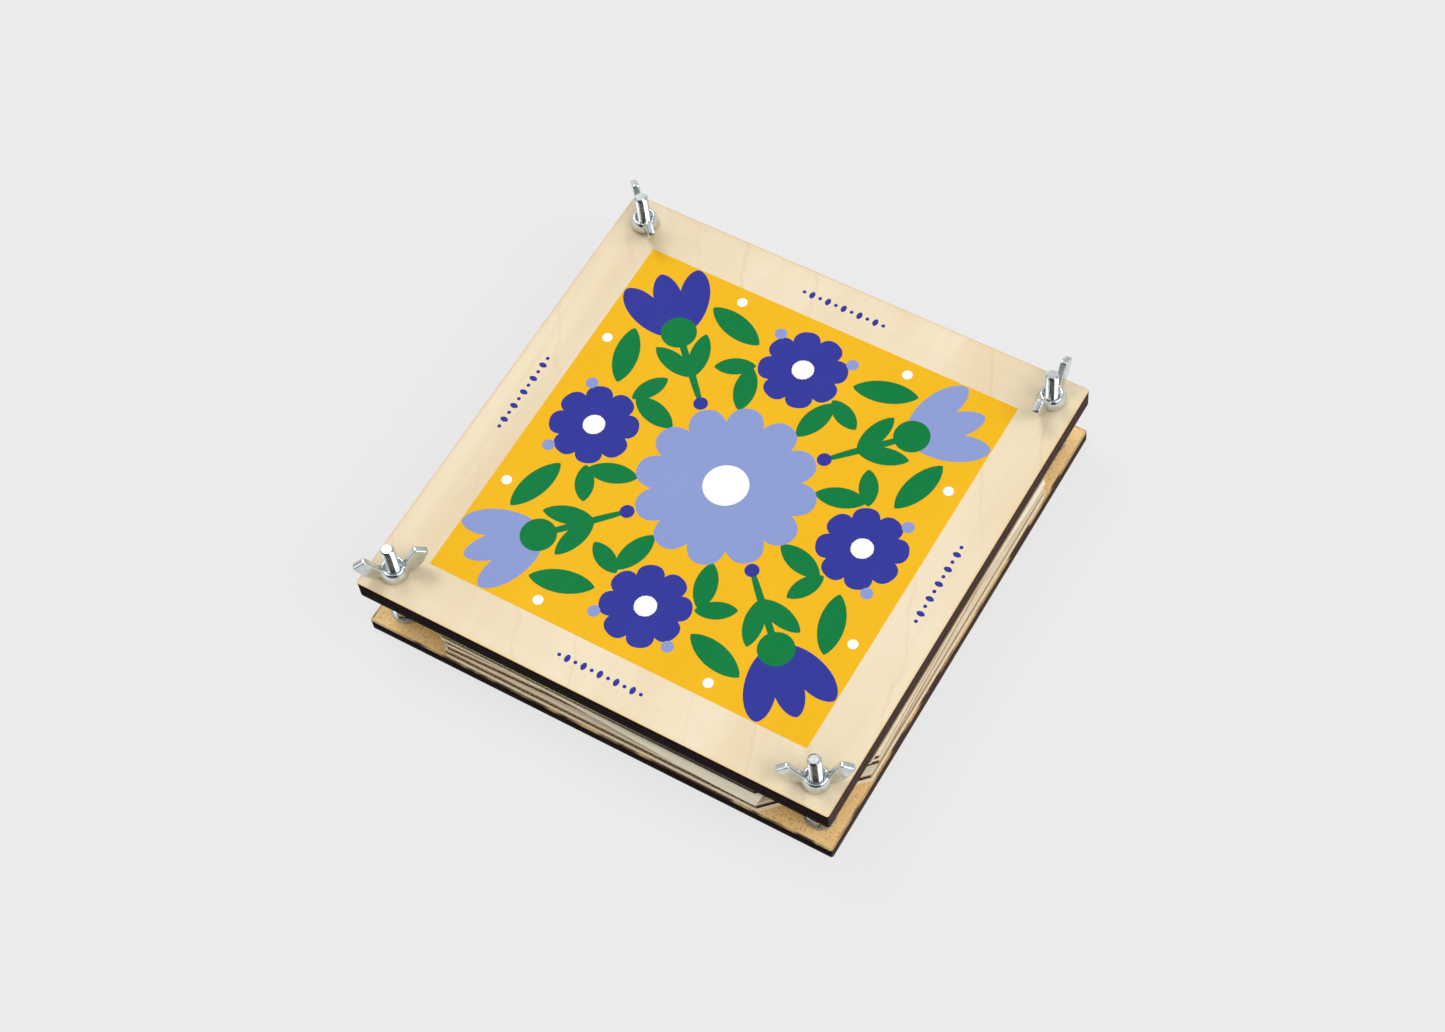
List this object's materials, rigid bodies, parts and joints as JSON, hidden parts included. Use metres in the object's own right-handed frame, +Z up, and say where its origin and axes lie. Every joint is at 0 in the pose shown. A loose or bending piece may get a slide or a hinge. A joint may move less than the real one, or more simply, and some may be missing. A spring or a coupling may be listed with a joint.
{
  "type": "flower press",
  "caption": "Square plywood flower press: boards on corner bolts, drawn together by wing nuts over a pile of corrugated cards and blotting papers.",
  "frame": {"origin": "centre of the bottom board's underside", "axes": "+Z up along the bolts, X and Y along the boards' sides, -Y the front"},
  "size_m": [0.1521, 0.1527, 0.0385],
  "materials": {
    "top_ply": "sanded birch plywood with a printed panel and charred edges",
    "bottom_ply": "smoke-stained birch plywood with charred edges",
    "bolt_steel": "bright zinc-plated thread",
    "nut_steel": "zinc-plated",
    "wing_nut_zinc": "bright zinc-plated casting",
    "card": "corrugated board",
    "paper": "uncoated blotting paper"
  },
  "bodies": {
    "base": {"bottom_board": "bottom_ply", "bolt_front_left": "bolt_steel", "bolt_front_right": "bolt_steel", "bolt_back_right": "bolt_steel", "bolt_back_left": "bolt_steel", "washer_front_left": "nut_steel", "washer_front_right": "nut_steel", "washer_back_right": "nut_steel", "washer_back_left": "nut_steel", "hex_nut_front_left": "nut_steel", "hex_nut_front_right": "nut_steel", "hex_nut_back_right": "nut_steel", "hex_nut_back_left": "nut_steel"},
    "top_board": {"top_board": "top_ply"},
    "wing_nut_front_left": {"wing_nut_front_left": "wing_nut_zinc"},
    "wing_nut_front_right": {"wing_nut_front_right": "wing_nut_zinc"},
    "wing_nut_back_right": {"wing_nut_back_right": "wing_nut_zinc"},
    "wing_nut_back_left": {"wing_nut_back_left": "wing_nut_zinc"},
    "blotting_paper_1": {"blotting_paper_1": "paper"},
    "blotting_paper_2": {"blotting_paper_2": "paper"},
    "blotting_paper_3": {"blotting_paper_3": "paper"},
    "blotting_paper_4": {"blotting_paper_4": "paper"},
    "corrugated_card_1": {"corrugated_card_1": "card"},
    "blotting_paper_5": {"blotting_paper_5": "paper"},
    "blotting_paper_6": {"blotting_paper_6": "paper"},
    "corrugated_card_2": {"corrugated_card_2": "card"},
    "blotting_paper_7": {"blotting_paper_7": "paper"},
    "blotting_paper_8": {"blotting_paper_8": "paper"},
    "corrugated_card_3": {"corrugated_card_3": "card"},
    "blotting_paper_9": {"blotting_paper_9": "paper"},
    "blotting_paper_10": {"blotting_paper_10": "paper"},
    "corrugated_card_4": {"corrugated_card_4": "card"},
    "blotting_paper_11": {"blotting_paper_11": "paper"},
    "blotting_paper_12": {"blotting_paper_12": "paper"},
    "blotting_paper_13": {"blotting_paper_13": "paper"}
  },
  "joints": [
    {"name": "top_board_lift", "type": "slide", "parent": "base", "child": "top_board", "axis": [0, 0, 1], "range_m": [0, 0.0077]},
    {"name": "wing_nut_front_left_turn", "type": "hinge", "parent": "top_board", "child": "wing_nut_front_left", "pos_m": [-0.0671, -0.0671, 0.0255], "axis": [0, 0, 1], "range_deg": [0, 3960]},
    {"name": "wing_nut_front_right_turn", "type": "hinge", "parent": "top_board", "child": "wing_nut_front_right", "pos_m": [0.0671, -0.0671, 0.0255], "axis": [0, 0, 1], "range_deg": [0, 3960]},
    {"name": "wing_nut_back_right_turn", "type": "hinge", "parent": "top_board", "child": "wing_nut_back_right", "pos_m": [0.0671, 0.0671, 0.0255], "axis": [0, 0, 1], "range_deg": [0, 3960]},
    {"name": "wing_nut_back_left_turn", "type": "hinge", "parent": "top_board", "child": "wing_nut_back_left", "pos_m": [-0.0671, 0.0671, 0.0255], "axis": [0, 0, 1], "range_deg": [0, 3960]},
    {"name": "blotting_paper_1_lift", "type": "slide", "parent": "base", "child": "blotting_paper_1", "axis": [0, 0, 1], "range_m": [0, 0.000428]},
    {"name": "blotting_paper_2_lift", "type": "slide", "parent": "base", "child": "blotting_paper_2", "axis": [0, 0, 1], "range_m": [0, 0.000856]},
    {"name": "blotting_paper_3_lift", "type": "slide", "parent": "base", "child": "blotting_paper_3", "axis": [0, 0, 1], "range_m": [0, 0.00128]},
    {"name": "blotting_paper_4_lift", "type": "slide", "parent": "base", "child": "blotting_paper_4", "axis": [0, 0, 1], "range_m": [0, 0.00171]},
    {"name": "corrugated_card_1_lift", "type": "slide", "parent": "base", "child": "corrugated_card_1", "axis": [0, 0, 1], "range_m": [0, 0.00214]},
    {"name": "blotting_paper_5_lift", "type": "slide", "parent": "base", "child": "blotting_paper_5", "axis": [0, 0, 1], "range_m": [0, 0.00257]},
    {"name": "blotting_paper_6_lift", "type": "slide", "parent": "base", "child": "blotting_paper_6", "axis": [0, 0, 1], "range_m": [0, 0.00299]},
    {"name": "corrugated_card_2_lift", "type": "slide", "parent": "base", "child": "corrugated_card_2", "axis": [0, 0, 1], "range_m": [0, 0.00342]},
    {"name": "blotting_paper_7_lift", "type": "slide", "parent": "base", "child": "blotting_paper_7", "axis": [0, 0, 1], "range_m": [0, 0.00385]},
    {"name": "blotting_paper_8_lift", "type": "slide", "parent": "base", "child": "blotting_paper_8", "axis": [0, 0, 1], "range_m": [0, 0.00428]},
    {"name": "corrugated_card_3_lift", "type": "slide", "parent": "base", "child": "corrugated_card_3", "axis": [0, 0, 1], "range_m": [0, 0.00471]},
    {"name": "blotting_paper_9_lift", "type": "slide", "parent": "base", "child": "blotting_paper_9", "axis": [0, 0, 1], "range_m": [0, 0.00513]},
    {"name": "blotting_paper_10_lift", "type": "slide", "parent": "base", "child": "blotting_paper_10", "axis": [0, 0, 1], "range_m": [0, 0.00556]},
    {"name": "corrugated_card_4_lift", "type": "slide", "parent": "base", "child": "corrugated_card_4", "axis": [0, 0, 1], "range_m": [0, 0.00599]},
    {"name": "blotting_paper_11_lift", "type": "slide", "parent": "base", "child": "blotting_paper_11", "axis": [0, 0, 1], "range_m": [0, 0.00642]},
    {"name": "blotting_paper_12_lift", "type": "slide", "parent": "base", "child": "blotting_paper_12", "axis": [0, 0, 1], "range_m": [0, 0.00684]},
    {"name": "blotting_paper_13_lift", "type": "slide", "parent": "base", "child": "blotting_paper_13", "axis": [0, 0, 1], "range_m": [0, 0.00727]}
  ],
  "couplings": [
    {"joint": "wing_nut_front_left_turn", "follows": "top_board_lift", "rad_per_m": 8976},
    {"joint": "wing_nut_front_right_turn", "follows": "top_board_lift", "rad_per_m": 8976},
    {"joint": "wing_nut_back_right_turn", "follows": "top_board_lift", "rad_per_m": 8976},
    {"joint": "wing_nut_back_left_turn", "follows": "top_board_lift", "rad_per_m": 8976},
    {"joint": "blotting_paper_1_lift", "follows": "top_board_lift", "ratio": 0.055584},
    {"joint": "blotting_paper_2_lift", "follows": "top_board_lift", "ratio": 0.11117},
    {"joint": "blotting_paper_3_lift", "follows": "top_board_lift", "ratio": 0.16662},
    {"joint": "blotting_paper_4_lift", "follows": "top_board_lift", "ratio": 0.22221},
    {"joint": "corrugated_card_1_lift", "follows": "top_board_lift", "ratio": 0.27779},
    {"joint": "blotting_paper_5_lift", "follows": "top_board_lift", "ratio": 0.33338},
    {"joint": "blotting_paper_6_lift", "follows": "top_board_lift", "ratio": 0.38883},
    {"joint": "corrugated_card_2_lift", "follows": "top_board_lift", "ratio": 0.44442},
    {"joint": "blotting_paper_7_lift", "follows": "top_board_lift", "ratio": 0.5},
    {"joint": "blotting_paper_8_lift", "follows": "top_board_lift", "ratio": 0.55558},
    {"joint": "corrugated_card_3_lift", "follows": "top_board_lift", "ratio": 0.61117},
    {"joint": "blotting_paper_9_lift", "follows": "top_board_lift", "ratio": 0.66662},
    {"joint": "blotting_paper_10_lift", "follows": "top_board_lift", "ratio": 0.72221},
    {"joint": "corrugated_card_4_lift", "follows": "top_board_lift", "ratio": 0.77779},
    {"joint": "blotting_paper_11_lift", "follows": "top_board_lift", "ratio": 0.83338},
    {"joint": "blotting_paper_12_lift", "follows": "top_board_lift", "ratio": 0.88883},
    {"joint": "blotting_paper_13_lift", "follows": "top_board_lift", "ratio": 0.94442}
  ]
}
